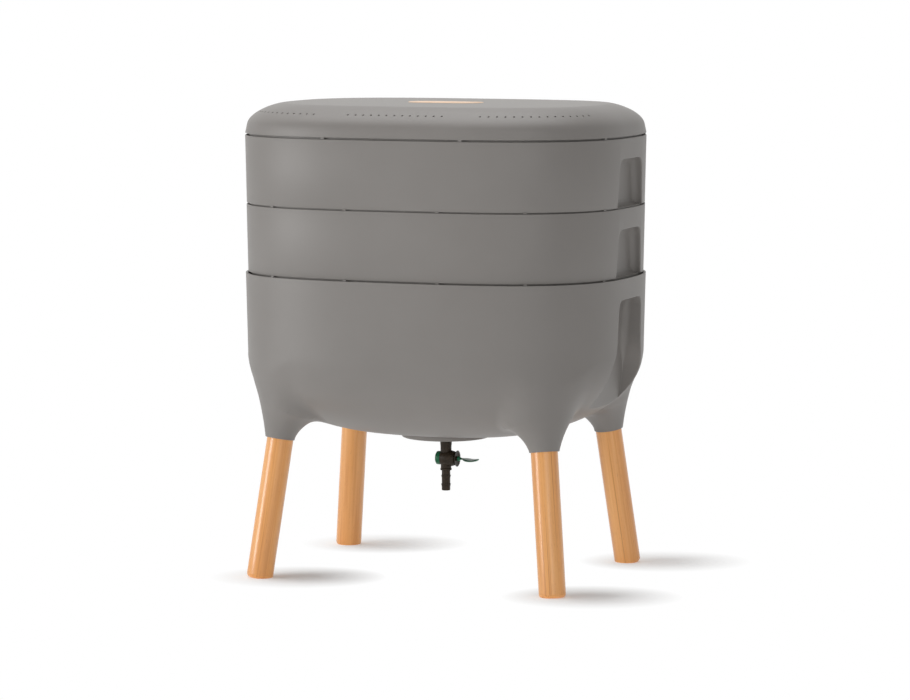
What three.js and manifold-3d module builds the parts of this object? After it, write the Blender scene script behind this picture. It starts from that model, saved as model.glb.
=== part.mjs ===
// Indoor wormery: a liquid sump on four splayed beech legs, two stacked working
// trays with perforated floors, a vented domed lid and a small drain tap.
// Millimetres, +Z up, origin on the floor midway between the four feet.
import * as THREE from 'three';
import { mergeVertices } from 'three/addons/utils/BufferGeometryUtils.js';
import Module from 'manifold-3d';

const wasm = await Module();
wasm.setup();

// Driving dimensions

const overrun = 20;          // how far a cutter runs past what it cuts
const seatGap = 0.3;         // clearance between pieces that rest on each other

const outline = {            // plan outline that every moulding shares
  halfX: 255,
  halfY: 192,
  powerX: 3.2,
  powerY: 2.75,
  steps: 40,
};

const base = {
  belly: 184.5,              // height of the underside above the floor
  bowlRise: 107.5,           // from the belly up to the knee
  wallRise: 101.5,           // from the knee up to the rim
  wall: 3,
  draft: 2.1,                // the wall draws in by this from rim to knee
  flatX: 80,                 // level part of the belly, from the middle
  flatY: 60,
  bellyPower: 2.3,
  bowlSteps: 6,
  cavitySteps: 3,
};

const dish = {               // round drain dish under the belly
  radius: 58,
  drop: 8,
  edge: 2,
  floor: 3.5,
  steps: 20,
};

const socket = {             // moulded horn that takes each leg
  insetX: 72.5,              // from the outline's sides to the mouth's middle
  insetY: 68.5,
  belowBelly: 4.5,
  radius: 18.9,
  skirt: 8,
  flareRadius: 37.3,         // hollow of the flare on the belly side
  flareRise: 22,
  topRise: 100,              // up here the horn has its top radius on the outer side
  topRadius: 55.5,
  innerGrowth: 16,
  steepShare: 0.68,
  flareShares: [0, 0.3, 0.58, 0.8, 1],
  upperShares: [0.25, 0.6, 1],
  depth: 48,
  bossWall: 3,
  cap: 4,
  steps: 16,
};

const leg = {
  radius: 17.2,
  fit: 0.3,
  splayX: 20,                // how far the foot stands out from the mouth
  splayY: 23,
  endRound: 5.5,
  roundShares: [0, 0.3, 0.7, 1],
  levelCut: 1.6,             // trimmed off square to the floor
  steps: 16,
};

const screw = {
  shankRadius: 2.5,
  headRadius: 6,
  headHeight: 3,
  driveRadius: 2.2,
  driveDepth: 1.8,
  reach: 30,                 // into the leg
  clearance: 0.3,
  sealRadius: 7.5,
  sealThickness: 1.5,
  steps: 8,
};

const baseGrip = {           // hand-hold that runs out between two legs
  depth: 24,
  belowRim: 27,
  halfWidth: 43,
  cornerRadius: 14,
  flareStartRise: 102.5,     // above the belly, where its sides start to spread
  flareEndRise: 55.5,        // above the belly, where it is widest
  flareHalfWidth: 62,
  steps: 3,
};

const tray = {
  pitch: 89.5,
  ventGap: 2.3,              // air slit between a rim and the piece above
  wall: 3,
  floor: 2.6,
  draft: 1.6,
  footDrop: 12,              // how far the foot nests into the rim below
  footInset: 5,
  footDraft: 1.5,
  shoulder: 4,
};

const trayGrip = {
  depth: 17,
  belowRim: 28,
  topHalfWidth: 37,
  bottomHalfWidth: 49,
  cornerRadius: 10,
  steps: 3,
  innerSteps: 2,
};

const slot = {               // drainage slots that worms climb through
  length: 44,
  width: 6,
  pitchX: 60,
  pitchY: 42,
  edge: 20,
};

const nub = {                // little feet that hold the air slit open
  length: 7,
  trayShares: [0.247, 0.675],
  lidShares: [0.365],
  endShare: 0.547,
};

const lid = {
  skirtHeight: 15,
  skirtDraft: 4.6,
  shoulderInset: 42,
  shoulderRise: 23.6,
  shoulderPower: 1.6,        // above 1 the shoulder turns harder at its foot
  domeRise: 0.3,
  domeShares: [0.72, 0.4],
  shell: 2.8,
  lipInset: 5,
  lipWall: 2.6,
  lipDrop: 8,
  lipRise: 9,
  shoulderSteps: 5,
  innerSteps: 2,
};

const vent = {
  radius: 1.4,
  pitch: 10.6,
  pathInset: 17,
  frontCount: 13,
  cornerCount: 15,
  cornerShare: 0.443,        // where the corner row starts, along the front
  samples: 6000,
  steps: 4,
};

const plaque = {
  length: 102,
  width: 46,
  thickness: 3,
  proud: 0.6,
  pad: 3,
  steps: 7,
};

const tap = {
  drop: 29,                  // from the dish down to the plug's axis
  barrelRadius: 10.4,
  barrelHalfLength: 13.4,
  barrelChamfer: 1.6,
  inletRadius: 7.65,
  threadRadius: 6.6,
  threadClearance: 0.3,
  threadRise: 16,
  washerThickness: 2,
  washerRadius: 9.6,
  nutFlats: 22,
  nutHeight: 7,
  flowRadius: 3,
  plugRadius: 6,
  plugClearance: 0.3,
  collarRadius: 7.5,
  collarTopDrop: 9,
  collarDrop: 15.5,
  tailRadius: 5.3,
  tailDrop: 42.5,            // the hose tail's end below the plug's axis
  barbRadius: 6.05,
  barbLength: 4,
  barbDrops: [38, 26.5],
  steps: 16,
  boreSteps: 8,
};

const plug = {
  stemRadius: 4,
  grooveRadius: 4.8,
  grooveWidth: 1.8,
  groovePlace: 8.6,
  ringRadius: 5.55,
  ringSection: 0.5,
  ringSteps: 6,
};

const endCap = {
  radius: 8,
  thickness: 2.2,
  edge: 0.6,
};

const gland = {
  length: 4.6,
  radius: 10.4,
  noseRadius: 6.6,
};

const key = {
  hubLength: 2.4,
  hubRadius: 3,
  neckLength: 2.2,
  neckWidth: 9,
  thickness: 2.5,
  bladeLength: 22,
  bladeWidth: 21,
  bladeRound: 6,
  steps: 4,
};

// Sizes that follow from them

const knee = base.belly + base.bowlRise;
const baseRim = knee + base.wallRise;
const lowerRim = baseRim + tray.pitch;
const upperRim = lowerRim + tray.pitch;
const lidBase = upperRim + tray.ventGap;
const lidTop = lidBase + lid.skirtHeight + lid.shoulderRise + lid.domeRise;
const dishFace = base.belly - dish.drop;
const mouthX = outline.halfX - socket.insetX;
const mouthY = outline.halfY - socket.insetY;
const mouthHeight = base.belly - socket.belowBelly;
const legRise = new THREE.Vector3(-leg.splayX, -leg.splayY, mouthHeight);
const legRun = legRise.length();
const sealSeat = socket.depth + socket.cap + seatGap;
const screwSeat = sealSeat + screw.sealThickness + seatGap;
const tapAxis = dishFace - tap.drop;

// Finishes

const greyPlastic = { color: 0x8f8c88, roughness: 0.55, metalness: 0 };
const beech = { color: 0xd29a66, roughness: 0.5, metalness: 0 };
const darkPlastic = { color: 0x2c2620, roughness: 0.4, metalness: 0 };
const greenPlastic = { color: 0x1f7a4c, roughness: 0.4, metalness: 0 };
const blackRubber = { color: 0x1b1b1b, roughness: 0.8, metalness: 0 };
const zincSteel = { color: 0xb9bcc0, roughness: 0.35, metalness: 1 };

// Solids

function toSolid(geometry, matrix) {
  const plain = geometry.clone();
  plain.deleteAttribute('normal');
  plain.deleteAttribute('uv');
  if (matrix) plain.applyMatrix4(matrix);
  const merged = mergeVertices(plain);
  return new wasm.Manifold(new wasm.Mesh({
    numProp: 3,
    vertProperties: new Float32Array(merged.attributes.position.array),
    triVerts: new Uint32Array(merged.index.array),
  }));
}

function addAll(first, ...others) {
  return others.reduce((whole, next) => whole.add(next), first);
}

function cutAll(first, ...cutters) {
  return cutters.reduce((whole, next) => whole.subtract(next), first);
}

function toGeometry(body) {
  const mesh = body.getMesh();
  const positions = new Float32Array(mesh.vertProperties);
  const geometry = new THREE.BufferGeometry();
  geometry.setAttribute('position', new THREE.BufferAttribute(positions, mesh.numProp));
  geometry.setIndex(new THREE.BufferAttribute(new Uint32Array(mesh.triVerts), 1));
  geometry.computeVertexNormals();
  return geometry;
}

// A closed skin over rings that climb in +Z, each with the same number of points
function loft(rings) {
  const count = rings[0].length;
  const points = rings.flat();
  const faces = [];
  for (let level = 0; level < rings.length - 1; level += 1) {
    for (let step = 0; step < count; step += 1) {
      const here = level * count + step;
      const next = level * count + (step + 1) % count;
      faces.push(here, next, next + count, here, next + count, here + count);
    }
  }
  for (const [level, turn] of [[0, -1], [rings.length - 1, 1]]) {
    const middle = new THREE.Vector3();
    rings[level].forEach((point) => middle.addScaledVector(point, 1 / count));
    points.push(middle);
    for (let step = 0; step < count; step += 1) {
      const here = level * count + step;
      const next = level * count + (step + 1) % count;
      faces.push(points.length - 1, turn > 0 ? here : next, turn > 0 ? next : here);
    }
  }
  const geometry = new THREE.BufferGeometry().setFromPoints(points);
  geometry.setIndex(faces);
  return toSolid(geometry);
}

// Superellipse ring: the plan outline, drawn in or out
function ring(halfX, halfY, height, powerX = outline.powerX, powerY = outline.powerY) {
  const points = [];
  for (let step = 0; step < outline.steps; step += 1) {
    const turn = 2 * Math.PI * step / outline.steps;
    const across = Math.cos(turn);
    const along = Math.sin(turn);
    points.push(new THREE.Vector3(
      halfX * Math.sign(across) * Math.abs(across) ** (2 / powerX),
      halfY * Math.sign(along) * Math.abs(along) ** (2 / powerY),
      height,
    ));
  }
  return points;
}

function insetRing(inset, height) {
  return ring(outline.halfX - inset, outline.halfY - inset, height);
}

function scaledRing(inset, share, height) {
  return ring((outline.halfX - inset) * share, (outline.halfY - inset) * share, height);
}

// The outline's y at a given x, for a given inset
function outlineY(x, inset) {
  const share = 1 - (Math.abs(x) / (outline.halfX - inset)) ** outline.powerX;
  return (outline.halfY - inset) * share ** (1 / outline.powerY);
}

function outlineX(y, inset) {
  const share = 1 - (Math.abs(y) / (outline.halfY - inset)) ** outline.powerY;
  return (outline.halfX - inset) * share ** (1 / outline.powerX);
}

function turned(profile, steps, matrix) {
  const points = profile.map(([radius, height]) => new THREE.Vector2(radius, height));
  const upright = new THREE.Matrix4().makeRotationX(Math.PI / 2);
  const geometry = new THREE.LatheGeometry(points, steps);
  return toSolid(geometry, matrix ? matrix.clone().multiply(upright) : upright);
}

function rod(radius, low, high, steps, matrix) {
  return turned([[0, low], [radius, low], [radius, high], [0, high]], steps, matrix);
}

function block(low, high) {
  const size = new THREE.Vector3().subVectors(high, low);
  const middle = new THREE.Vector3().addVectors(low, high).multiplyScalar(0.5);
  const place = new THREE.Matrix4().makeTranslation(middle.x, middle.y, middle.z);
  return toSolid(new THREE.BoxGeometry(size.x, size.y, size.z), place);
}

const alongX = new THREE.Matrix4().makeBasis(
  new THREE.Vector3(0, 1, 0),
  new THREE.Vector3(0, 0, 1),
  new THREE.Vector3(1, 0, 0),
);
const halfTurn = new THREE.Matrix4().makeRotationZ(Math.PI);

// A prism across the end of the body: its shape is drawn in Y and Z
function endPrism(shape, fromX, toX, curveSegments) {
  const geometry = new THREE.ExtrudeGeometry(shape, {
    depth: toX - fromX,
    bevelEnabled: false,
    steps: 1,
    curveSegments,
  });
  const place = new THREE.Matrix4().makeTranslation(fromX, 0, 0).multiply(alongX);
  const near = toSolid(geometry, place);
  const far = toSolid(geometry, halfTurn.clone().multiply(place));
  return near.add(far);
}

// Hand-hold outline with drawn-in sides and rounded upper corners
function gripShape(low, high, bottomHalf, topHalf, corner) {
  const lean = new THREE.Vector2(bottomHalf - topHalf, low - high).setLength(corner);
  const shape = new THREE.Shape();
  shape.moveTo(-bottomHalf, low);
  shape.lineTo(bottomHalf, low);
  shape.lineTo(topHalf + lean.x, high + lean.y);
  shape.quadraticCurveTo(topHalf, high, topHalf - corner, high);
  shape.lineTo(corner - topHalf, high);
  shape.quadraticCurveTo(-topHalf, high, -topHalf - lean.x, high + lean.y);
  shape.closePath();
  return shape;
}

// Leg frames: the origin is the middle of the socket's mouth, +Z runs up the leg

const corners = [
  { name: 'front_left', x: -1, y: -1 },
  { name: 'front_right', x: 1, y: -1 },
  { name: 'back_left', x: -1, y: 1 },
  { name: 'back_right', x: 1, y: 1 },
];

function legFrame(corner) {
  const up = new THREE.Vector3(corner.x * legRise.x, corner.y * legRise.y, legRise.z).normalize();
  const lean = new THREE.Quaternion().setFromUnitVectors(new THREE.Vector3(0, 0, 1), up);
  const mouth = new THREE.Vector3(corner.x * mouthX, corner.y * mouthY, mouthHeight);
  return new THREE.Matrix4().compose(mouth, lean, new THREE.Vector3(1, 1, 1));
}

// Base

// Radius of the horn on its belly side: a quarter hollow that runs out level
function flareSide(rise) {
  const centreRise = socket.flareRise - socket.flareRadius;
  const centreRadius = socket.radius + Math.sqrt(socket.flareRadius ** 2 - centreRise ** 2);
  if (rise >= socket.flareRise) {
    const climb = (rise - socket.flareRise) / (socket.topRise - socket.flareRise);
    return centreRadius + socket.innerGrowth * climb;
  }
  return centreRadius - Math.sqrt(socket.flareRadius ** 2 - (rise - centreRise) ** 2);
}

// Radius of the horn on its outer side: it swells gently up to the wall
function outerSide(rise) {
  const climb = rise / socket.topRise;
  const swell = socket.steepShare * climb + (1 - socket.steepShare) * climb ** 2;
  return socket.radius + (socket.topRadius - socket.radius) * swell;
}

function horn(corner) {
  const outward = Math.atan2(corner.y * mouthY, corner.x * mouthX);
  const upper = knee - mouthHeight - socket.flareRise;
  const rises = [
    -socket.skirt,
    ...socket.flareShares.map((share) => share * socket.flareRise),
    ...socket.upperShares.map((share) => socket.flareRise + share * upper),
  ];
  const rings = rises.map((rise) => {
    const shift = rise / legRise.z;
    const middleX = corner.x * (mouthX + shift * legRise.x);
    const middleY = corner.y * (mouthY + shift * legRise.y);
    const points = [];
    for (let step = 0; step < socket.steps; step += 1) {
      const turn = 2 * Math.PI * step / socket.steps;
      const inward = (1 - Math.cos(turn - outward)) / 2;
      const low = Math.max(rise, 0);
      const radius = outerSide(low) + (flareSide(low) - outerSide(low)) * inward;
      points.push(new THREE.Vector3(
        middleX + radius * Math.cos(turn),
        middleY + radius * Math.sin(turn),
        mouthHeight + rise,
      ));
    }
    return points;
  });
  const below = rod(socket.flareRadius * 2, -socket.skirt * 4, 0, socket.steps, legFrame(corner));
  const underWall = loft([insetRing(base.draft, 0), insetRing(base.draft, knee)]);
  return loft(rings).intersect(underWall).subtract(below);
}

// Bowl of the sump, drawn in all over by the given wall
function bowl(wall, steps) {
  const rings = [];
  const drop = base.bowlRise - wall;
  const kneeX = outline.halfX - base.draft - wall;
  const kneeY = outline.halfY - base.draft - wall;
  for (let step = 0; step <= steps; step += 1) {
    const turn = Math.PI / 2 * step / steps;
    const reach = Math.sin(turn);
    rings.push(ring(
      base.flatX + (kneeX - base.flatX) * reach,
      base.flatY + (kneeY - base.flatY) * reach,
      knee - drop * Math.cos(turn),
      base.bellyPower + (outline.powerX - base.bellyPower) * reach,
      base.bellyPower + (outline.powerY - base.bellyPower) * reach,
    ));
  }
  return rings;
}

function baseGripShape(grow) {
  const half = baseGrip.halfWidth + grow;
  const flareHalf = baseGrip.flareHalfWidth + grow;
  const high = baseRim - baseGrip.belowRim + grow;
  const corner = baseGrip.cornerRadius;
  const low = base.belly - overrun;
  const flareStart = base.belly + baseGrip.flareStartRise;
  const flareEnd = base.belly + baseGrip.flareEndRise;
  const bend = (flareStart + flareEnd) / 2;
  const shape = new THREE.Shape();
  shape.moveTo(-flareHalf, low);
  shape.lineTo(flareHalf, low);
  shape.lineTo(flareHalf, flareEnd);
  shape.quadraticCurveTo(half, bend, half, flareStart);
  shape.lineTo(half, high - corner);
  shape.quadraticCurveTo(half, high, half - corner, high);
  shape.lineTo(corner - half, high);
  shape.quadraticCurveTo(-half, high, -half, high - corner);
  shape.lineTo(-half, flareStart);
  shape.quadraticCurveTo(-half, bend, -flareHalf, flareEnd);
  shape.closePath();
  return shape;
}

function makeBaseTub() {
  const shell = loft([...bowl(0, base.bowlSteps), insetRing(0, baseRim)]);
  const bellyTop = base.belly + base.wall;
  const drainDish = turned([
    [0, dishFace],
    [dish.radius - dish.edge, dishFace],
    [dish.radius, dishFace + dish.edge],
    [dish.radius, bellyTop],
    [0, bellyTop],
  ], dish.steps);
  const horns = corners.map(horn);
  const gripPlane = outline.halfX - baseGrip.depth;
  const past = outline.halfX + overrun;
  const gripHold = endPrism(baseGripShape(base.wall), gripPlane - base.wall, past, baseGrip.steps);
  const gripCut = endPrism(baseGripShape(0), gripPlane, past, baseGrip.steps);
  const bosses = corners.map((corner) => rod(
    leg.radius + leg.fit + socket.bossWall,
    0,
    socket.depth + socket.cap,
    leg.steps,
    legFrame(corner),
  ));
  const room = cutAll(
    loft([...bowl(base.wall, base.cavitySteps), insetRing(base.wall, baseRim + overrun)]),
    gripHold,
    ...bosses,
  );
  const well = rod(
    dish.radius - dish.edge - base.wall,
    dishFace + dish.floor,
    bellyTop + base.wall,
    dish.steps,
  );
  const legBores = corners.map((corner) => rod(
    leg.radius + leg.fit,
    -overrun,
    socket.depth,
    leg.steps,
    legFrame(corner),
  ));
  const screwBores = corners.map((corner) => rod(
    screw.shankRadius + screw.clearance,
    0,
    socket.depth + overrun,
    screw.steps,
    legFrame(corner),
  ));
  const sealSeats = corners.map((corner) => rod(
    screw.sealRadius + screw.clearance,
    socket.depth + socket.cap,
    screwSeat + screw.headHeight + screw.clearance,
    screw.steps,
    legFrame(corner),
  ));
  const outlet = rod(
    tap.threadRadius + tap.threadClearance,
    dishFace - overrun,
    bellyTop + overrun,
    tap.steps,
  );
  const tub = addAll(shell, drainDish, ...horns);
  return cutAll(tub, room, well, gripCut, ...legBores, ...screwBores, ...sealSeats, outlet);
}

function makeLeg(corner) {
  const frame = legFrame(corner);
  const end = -legRun - leg.levelCut;
  const round = leg.roundShares.map((share) => {
    const turn = Math.PI / 2 * share;
    return [
      leg.radius - leg.endRound * (1 - Math.sin(turn)),
      end + leg.endRound * (1 - Math.cos(turn)),
    ];
  });
  const top = socket.depth - seatGap;
  const stick = turned([
    [0, end],
    ...round,
    [leg.radius, top],
    [0, top],
  ], leg.steps, frame);
  const pilot = rod(
    screw.shankRadius + screw.clearance,
    top - screw.reach - screw.clearance,
    top + overrun,
    screw.steps,
    frame,
  );
  const reach = outline.halfX + outline.halfY;
  const underFloor = block(
    new THREE.Vector3(-reach, -reach, -overrun * 2),
    new THREE.Vector3(reach, reach, 0),
  );
  return cutAll(stick, pilot, underFloor);
}

function makeLegScrew(corner) {
  const tip = socket.depth - seatGap - screw.reach;
  const top = screwSeat + screw.headHeight;
  return turned([
    [0, tip],
    [screw.shankRadius, tip + screw.shankRadius],
    [screw.shankRadius, screwSeat],
    [screw.headRadius, screwSeat],
    [screw.headRadius, screwSeat + screw.headHeight / 2],
    [screw.headRadius - screw.headHeight / 2, top],
    [screw.driveRadius, top],
    [screw.driveRadius, top - screw.driveDepth],
    [0, top - screw.driveDepth],
  ], screw.steps, legFrame(corner));
}

function makeLegScrewSeal(corner) {
  const bore = screw.shankRadius + screw.clearance;
  return turned([
    [bore, sealSeat],
    [screw.sealRadius, sealSeat],
    [screw.sealRadius, sealSeat + screw.sealThickness],
    [bore, sealSeat + screw.sealThickness],
    [bore, sealSeat],
  ], screw.steps, legFrame(corner));
}

// Trays

function nubs(edgeHeight, alongShares, wall) {
  const low = edgeHeight - tray.ventGap + seatGap;
  const middleInset = wall / 2;
  const endY = outline.halfY * nub.endShare;
  const places = [[outlineX(endY, middleInset), endY]];
  for (const share of alongShares) {
    const x = outline.halfX * share;
    places.push([x, outlineY(x, middleInset)]);
  }
  const pads = [];
  for (const [x, y] of places) {
    const slope = new THREE.Vector2(
      (x / outline.halfX) ** (outline.powerX - 1) / outline.halfX,
      (y / outline.halfY) ** (outline.powerY - 1) / outline.halfY,
    );
    const facing = slope.angle();
    const height = edgeHeight + seatGap - low;
    for (const corner of corners) {
      const turn = Math.atan2(corner.y * Math.sin(facing), corner.x * Math.cos(facing));
      const place = new THREE.Matrix4().makeTranslation(corner.x * x, corner.y * y, low + height / 2);
      place.multiply(new THREE.Matrix4().makeRotationZ(turn));
      pads.push(toSolid(new THREE.BoxGeometry(wall / 2, nub.length, height), place));
    }
  }
  return addAll(...pads);
}

function makeTray(rimBelow) {
  const edge = rimBelow + tray.ventGap;
  const rim = rimBelow + tray.pitch;
  const foot = rimBelow - tray.footDrop;
  const floorTop = foot + tray.floor;
  const outer = loft([
    insetRing(tray.footInset + tray.footDraft, foot),
    insetRing(tray.footInset, edge),
    insetRing(tray.draft, edge),
    insetRing(0, rim),
  ]);
  const gripPlane = outline.halfX - trayGrip.depth;
  const past = outline.halfX + overrun;
  const gripTop = rim - trayGrip.belowRim;
  const cutShape = gripShape(
    edge, gripTop, trayGrip.bottomHalfWidth, trayGrip.topHalfWidth, trayGrip.cornerRadius,
  );
  const lean = (trayGrip.bottomHalfWidth - trayGrip.topHalfWidth) / (gripTop - edge);
  const holdLow = foot - overrun;
  const holdShape = gripShape(
    holdLow,
    gripTop + tray.wall,
    trayGrip.bottomHalfWidth + tray.wall + lean * (edge - holdLow),
    trayGrip.topHalfWidth + tray.wall * (1 - lean),
    trayGrip.cornerRadius,
  );
  const room = loft([
    insetRing(tray.footInset + tray.footDraft + tray.wall, floorTop),
    insetRing(tray.footInset + tray.wall, edge),
    insetRing(tray.draft + tray.wall, edge + tray.shoulder),
    insetRing(tray.wall, rim),
    insetRing(tray.wall, rim + overrun),
  ]).subtract(endPrism(holdShape, gripPlane - tray.wall, past, trayGrip.innerSteps));
  const slots = [];
  const countX = Math.floor((outline.halfX - slot.edge) / slot.pitchX);
  const countY = Math.floor((outline.halfY - slot.edge) / slot.pitchY);
  for (let column = -countX; column <= countX; column += 1) {
    for (let row = -countY; row <= countY; row += 1) {
      const x = column * slot.pitchX;
      const y = row * slot.pitchY;
      const corner = [Math.abs(x) + slot.length / 2, Math.abs(y) + slot.width / 2];
      const fits = corner[0] < outline.halfX - slot.edge
        && corner[1] < outlineY(corner[0], slot.edge);
      if (fits) {
        slots.push(block(
          new THREE.Vector3(x - slot.length / 2, y - slot.width / 2, foot - overrun),
          new THREE.Vector3(x + slot.length / 2, y + slot.width / 2, floorTop + overrun),
        ));
      }
    }
  }
  const gripCut = endPrism(cutShape, gripPlane, past, trayGrip.steps);
  const body = cutAll(outer, room, gripCut, addAll(...slots));
  return body.add(nubs(edge, nub.trayShares, tray.wall + tray.draft));
}

// Lid

function lidRings(inset, drop, steps) {
  const rings = [insetRing(lid.skirtDraft + inset, lidBase + lid.skirtHeight)];
  for (let step = 1; step <= steps; step += 1) {
    const turn = Math.PI / 2 * step / steps;
    const drawn = lid.skirtDraft + lid.shoulderInset * (1 - Math.cos(turn) ** lid.shoulderPower);
    const height = lidBase + lid.skirtHeight + lid.shoulderRise * Math.sin(turn);
    rings.push(insetRing(drawn + inset, height - drop * Math.sin(turn)));
  }
  const flatInset = lid.skirtDraft + lid.shoulderInset + inset;
  const shoulderTop = lidBase + lid.skirtHeight + lid.shoulderRise - drop;
  for (const share of lid.domeShares) {
    rings.push(scaledRing(flatInset, share, shoulderTop + lid.domeRise * (1 - share ** 2)));
  }
  return rings;
}

function plaqueSolid(grow, low, high) {
  const half = plaque.width / 2 + grow;
  const straight = plaque.length / 2 - plaque.width / 2;
  const shape = new THREE.Shape();
  shape.absarc(straight, 0, half, -Math.PI / 2, Math.PI / 2, false);
  shape.absarc(-straight, 0, half, Math.PI / 2, Math.PI * 1.5, false);
  shape.closePath();
  const geometry = new THREE.ExtrudeGeometry(shape, {
    depth: high - low,
    bevelEnabled: false,
    steps: 1,
    curveSegments: plaque.steps,
  });
  return toSolid(geometry, new THREE.Matrix4().makeTranslation(0, 0, low));
}

// Points at even steps along the vent path, from a place in the front right quarter
function ventRow(startX, count) {
  const places = [];
  let travelled = 0;
  let last = null;
  for (let sample = 0; sample <= vent.samples && places.length < count; sample += 1) {
    const turn = Math.PI / 2 * (1 - sample / vent.samples);
    const here = new THREE.Vector2(
      (outline.halfX - vent.pathInset) * Math.cos(turn) ** (2 / outline.powerX),
      -(outline.halfY - vent.pathInset) * Math.sin(turn) ** (2 / outline.powerY),
    );
    if (here.x < startX) continue;
    if (last) travelled += here.distanceTo(last);
    last = here;
    if (travelled >= places.length * vent.pitch) places.push(here);
  }
  return places;
}

function makeLid() {
  const lipLow = lidBase - lid.lipDrop;
  const top = lidTop - seatGap;
  const outer = loft([insetRing(0, lidBase), ...lidRings(0, 0, lid.shoulderSteps)]);
  const lipOuter = loft([insetRing(lid.lipInset, lipLow), insetRing(lid.lipInset, lidBase + seatGap)]);
  const room = loft([
    insetRing(lid.lipInset + lid.lipWall, lipLow - overrun),
    insetRing(lid.lipInset + lid.lipWall, lidBase + lid.lipRise),
    ...lidRings(lid.shell, lid.shell, lid.innerSteps),
  ]);
  const seatLow = lidTop - (plaque.thickness - plaque.proud) - seatGap;
  const pad = plaqueSolid(plaque.pad, seatLow - plaque.pad, seatLow);
  const seat = plaqueSolid(seatGap, seatLow, top + overrun);
  const frontRow = ventRow(0, (vent.frontCount + 1) / 2);
  const cornerRow = ventRow(vent.cornerShare * outline.halfX, vent.cornerCount);
  const holes = [];
  for (const place of [...frontRow, ...cornerRow]) {
    for (const corner of corners) {
      if (place.x < vent.radius && corner.x < 0) continue;
      const matrix = new THREE.Matrix4().makeTranslation(corner.x * place.x, corner.y * place.y, 0);
      holes.push(rod(vent.radius, lidBase + lid.skirtHeight, lidTop + overrun, vent.steps, matrix));
    }
  }
  const shell = cutAll(addAll(outer, lipOuter), room).add(pad);
  return cutAll(shell, seat, addAll(...holes)).add(nubs(lidBase, nub.lidShares, tray.wall));
}

function makePlaque() {
  const low = lidTop - (plaque.thickness - plaque.proud);
  return plaqueSolid(0, low, low + plaque.thickness);
}

// Tap

// Frame whose +Z runs along the tap's plug, to the object's right
const plugFrame = new THREE.Matrix4().makeTranslation(0, 0, tapAxis).multiply(alongX);
const flowFrame = new THREE.Matrix4().makeTranslation(0, 0, tapAxis)
  .multiply(new THREE.Matrix4().makeRotationX(Math.PI / 2));
const inletTop = dishFace - seatGap * 2 - tap.washerThickness;
const nutSeat = dishFace + dish.floor + seatGap * 2 + tap.washerThickness;

function makeTapBody() {
  const half = tap.barrelHalfLength;
  const barrel = turned([
    [0, -half],
    [tap.barrelRadius - tap.barrelChamfer, -half],
    [tap.barrelRadius, -half + tap.barrelChamfer],
    [tap.barrelRadius, half - tap.barrelChamfer],
    [tap.barrelRadius - tap.barrelChamfer, half],
    [0, half],
  ], tap.steps, plugFrame);
  const tailEnd = tapAxis - tap.tailDrop;
  const threadTop = dishFace + tap.threadRise;
  const barbs = [];
  for (const drop of tap.barbDrops) {
    barbs.push(
      [tap.tailRadius, tapAxis - drop],
      [tap.barbRadius, tapAxis - drop + tap.barbLength],
      [tap.tailRadius, tapAxis - drop + tap.barbLength],
    );
  }
  const stem = turned([
    [0, tailEnd],
    [tap.tailRadius, tailEnd],
    ...barbs,
    [tap.tailRadius, tapAxis - tap.collarDrop],
    [tap.collarRadius, tapAxis - tap.collarTopDrop],
    [tap.inletRadius, tapAxis],
    [tap.inletRadius, inletTop],
    [tap.threadRadius, inletTop],
    [tap.threadRadius, threadTop],
    [0, threadTop],
  ], tap.steps);
  const flow = rod(tap.flowRadius, tailEnd - overrun, threadTop + overrun, tap.boreSteps);
  const plugBore = tap.plugRadius + tap.plugClearance;
  const cross = rod(plugBore, -half - overrun, half + overrun, tap.steps, plugFrame);
  return cutAll(addAll(barrel, stem), flow, cross);
}

function makeTapPlug() {
  const half = tap.barrelHalfLength;
  const grooves = [];
  for (const middle of [-plug.groovePlace, plug.groovePlace]) {
    grooves.push(
      [tap.plugRadius, middle - plug.grooveWidth / 2],
      [plug.grooveRadius, middle - plug.grooveWidth / 2],
      [plug.grooveRadius, middle + plug.grooveWidth / 2],
      [tap.plugRadius, middle + plug.grooveWidth / 2],
    );
  }
  const core = turned([
    [0, -half],
    [tap.plugRadius, -half],
    ...grooves,
    [tap.plugRadius, half],
    [plug.stemRadius, half],
    [plug.stemRadius, half + seatGap + gland.length],
    [0, half + seatGap + gland.length],
  ], tap.steps, plugFrame);
  const port = rod(tap.flowRadius, -overrun, overrun, tap.boreSteps, flowFrame);
  return core.subtract(port);
}

function makeTapRing(place) {
  const profile = [];
  for (let step = 0; step <= plug.ringSteps; step += 1) {
    const turn = 2 * Math.PI * (step % plug.ringSteps) / plug.ringSteps;
    profile.push([
      plug.ringRadius + plug.ringSection * Math.cos(turn),
      place + plug.ringSection * Math.sin(turn),
    ]);
  }
  return turned(profile, tap.steps, plugFrame);
}

function makeTapEndCap() {
  const near = -tap.barrelHalfLength - seatGap;
  return turned([
    [0, near - endCap.thickness],
    [endCap.radius - endCap.edge, near - endCap.thickness],
    [endCap.radius, near - endCap.thickness + endCap.edge],
    [endCap.radius, near],
    [0, near],
  ], tap.steps, plugFrame);
}

function makeTapGland() {
  const near = tap.barrelHalfLength + seatGap;
  const bore = plug.stemRadius + tap.plugClearance;
  return turned([
    [bore, near],
    [gland.radius, near],
    [gland.radius, near + gland.length / 3],
    [gland.noseRadius, near + gland.length],
    [bore, near + gland.length],
    [bore, near],
  ], tap.steps, plugFrame);
}

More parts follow.
